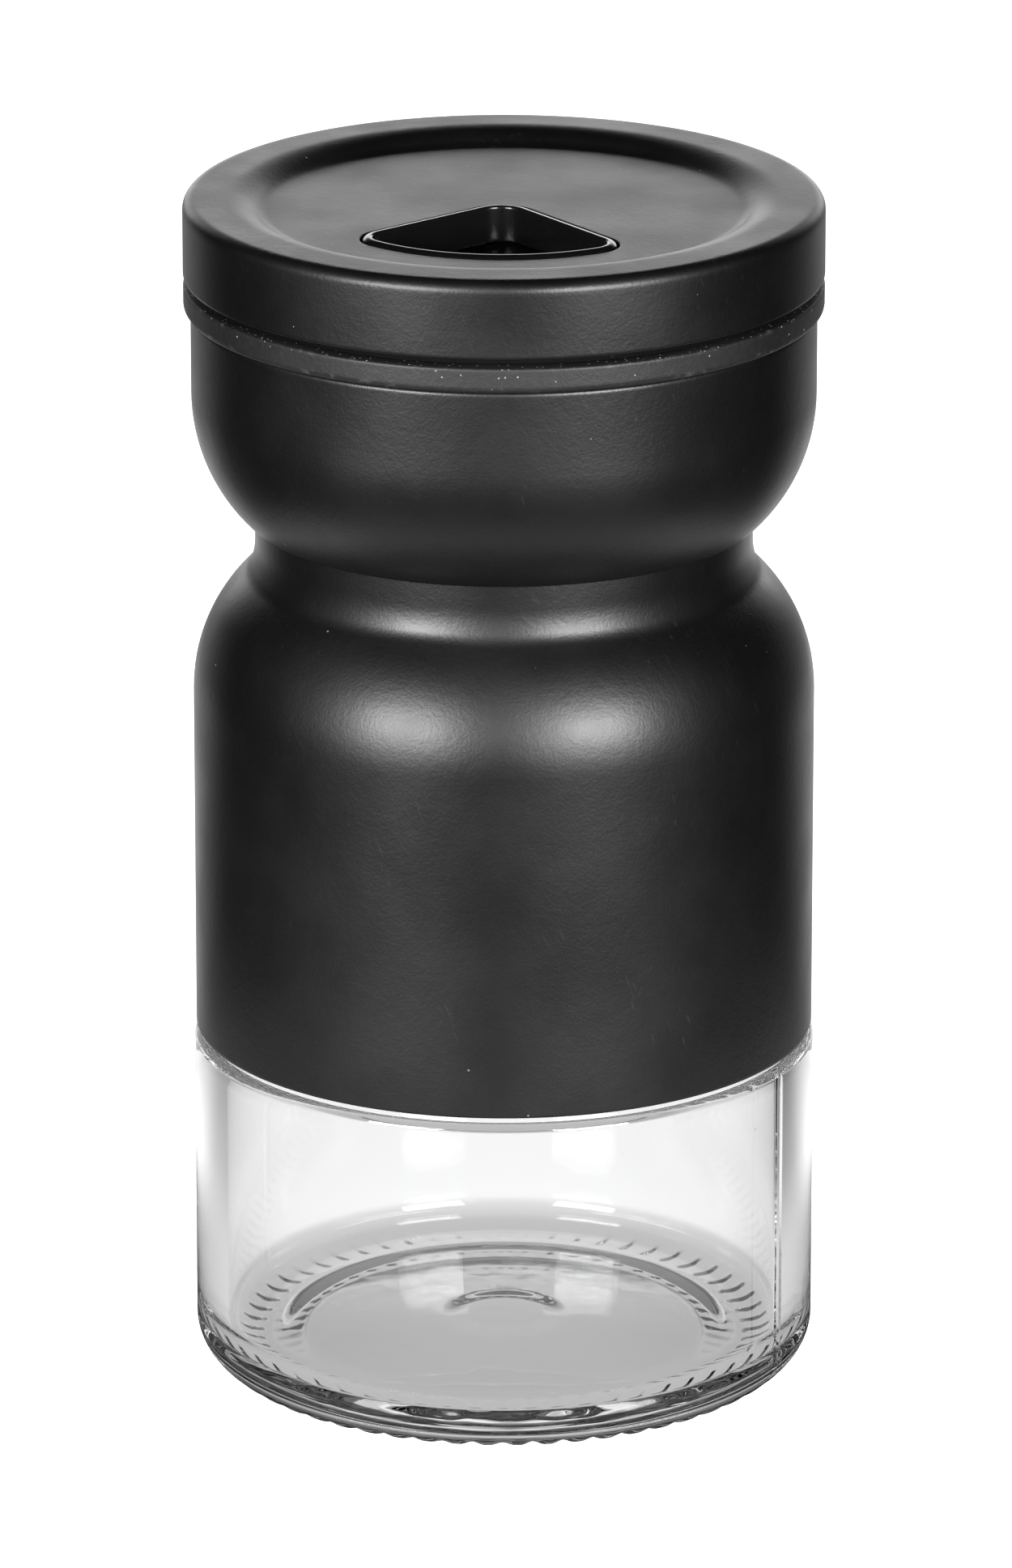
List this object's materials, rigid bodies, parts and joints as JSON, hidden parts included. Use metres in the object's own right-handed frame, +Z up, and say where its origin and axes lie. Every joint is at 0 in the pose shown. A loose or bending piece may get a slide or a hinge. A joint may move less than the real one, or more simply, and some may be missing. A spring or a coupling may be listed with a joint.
{
  "type": "spice jar",
  "caption": "Clear glass spice jar in a black steel sleeve, with a screw-off bowl-shaped lid whose turning dial sets a sector window over a sifter plate.",
  "frame": {"origin": "middle of the base, on the surface that the jar stands on", "axes": "+Z up along the jar's axis, -Y towards the dial's window at rest"},
  "size_m": [0.052, 0.052, 0.0997],
  "materials": {
    "clear_glass": "clear, polished, moulded",
    "black_paint": "satin black, very fine grain",
    "collar_plastic": "matte, fine grain",
    "seal_silicone": "soft, matte, milky",
    "dial_plastic": "gloss black"
  },
  "bodies": {
    "jar": {"glass_jar": "clear_glass", "body_sleeve": "black_paint"},
    "seal": {"jar_seal": "seal_silicone"},
    "lid": {"lid_bowl": "black_paint", "screw_collar": "collar_plastic", "sifter_plate": "dial_plastic"},
    "dial": {"dial_insert": "dial_plastic", "dial_cover": "black_paint"}
  },
  "joints": [
    {"name": "lid_lift", "type": "slide", "parent": "jar", "child": "seal", "axis": [0, 0, 1], "range_m": [0, 0.0211]},
    {"name": "lid_turn", "type": "hinge", "parent": "seal", "child": "lid", "pos_m": [0, 0, 0.0905], "axis": [0, 0, 1], "range_deg": [0, 1080]},
    {"name": "dial_turn", "type": "hinge", "parent": "lid", "child": "dial", "pos_m": [0, 0, 0.0958], "axis": [0, 0, 1], "continuous": true}
  ],
  "couplings": [
    {"joint": "lid_lift", "follows": "lid_turn", "m_per_rad": 0.0011141}
  ]
}
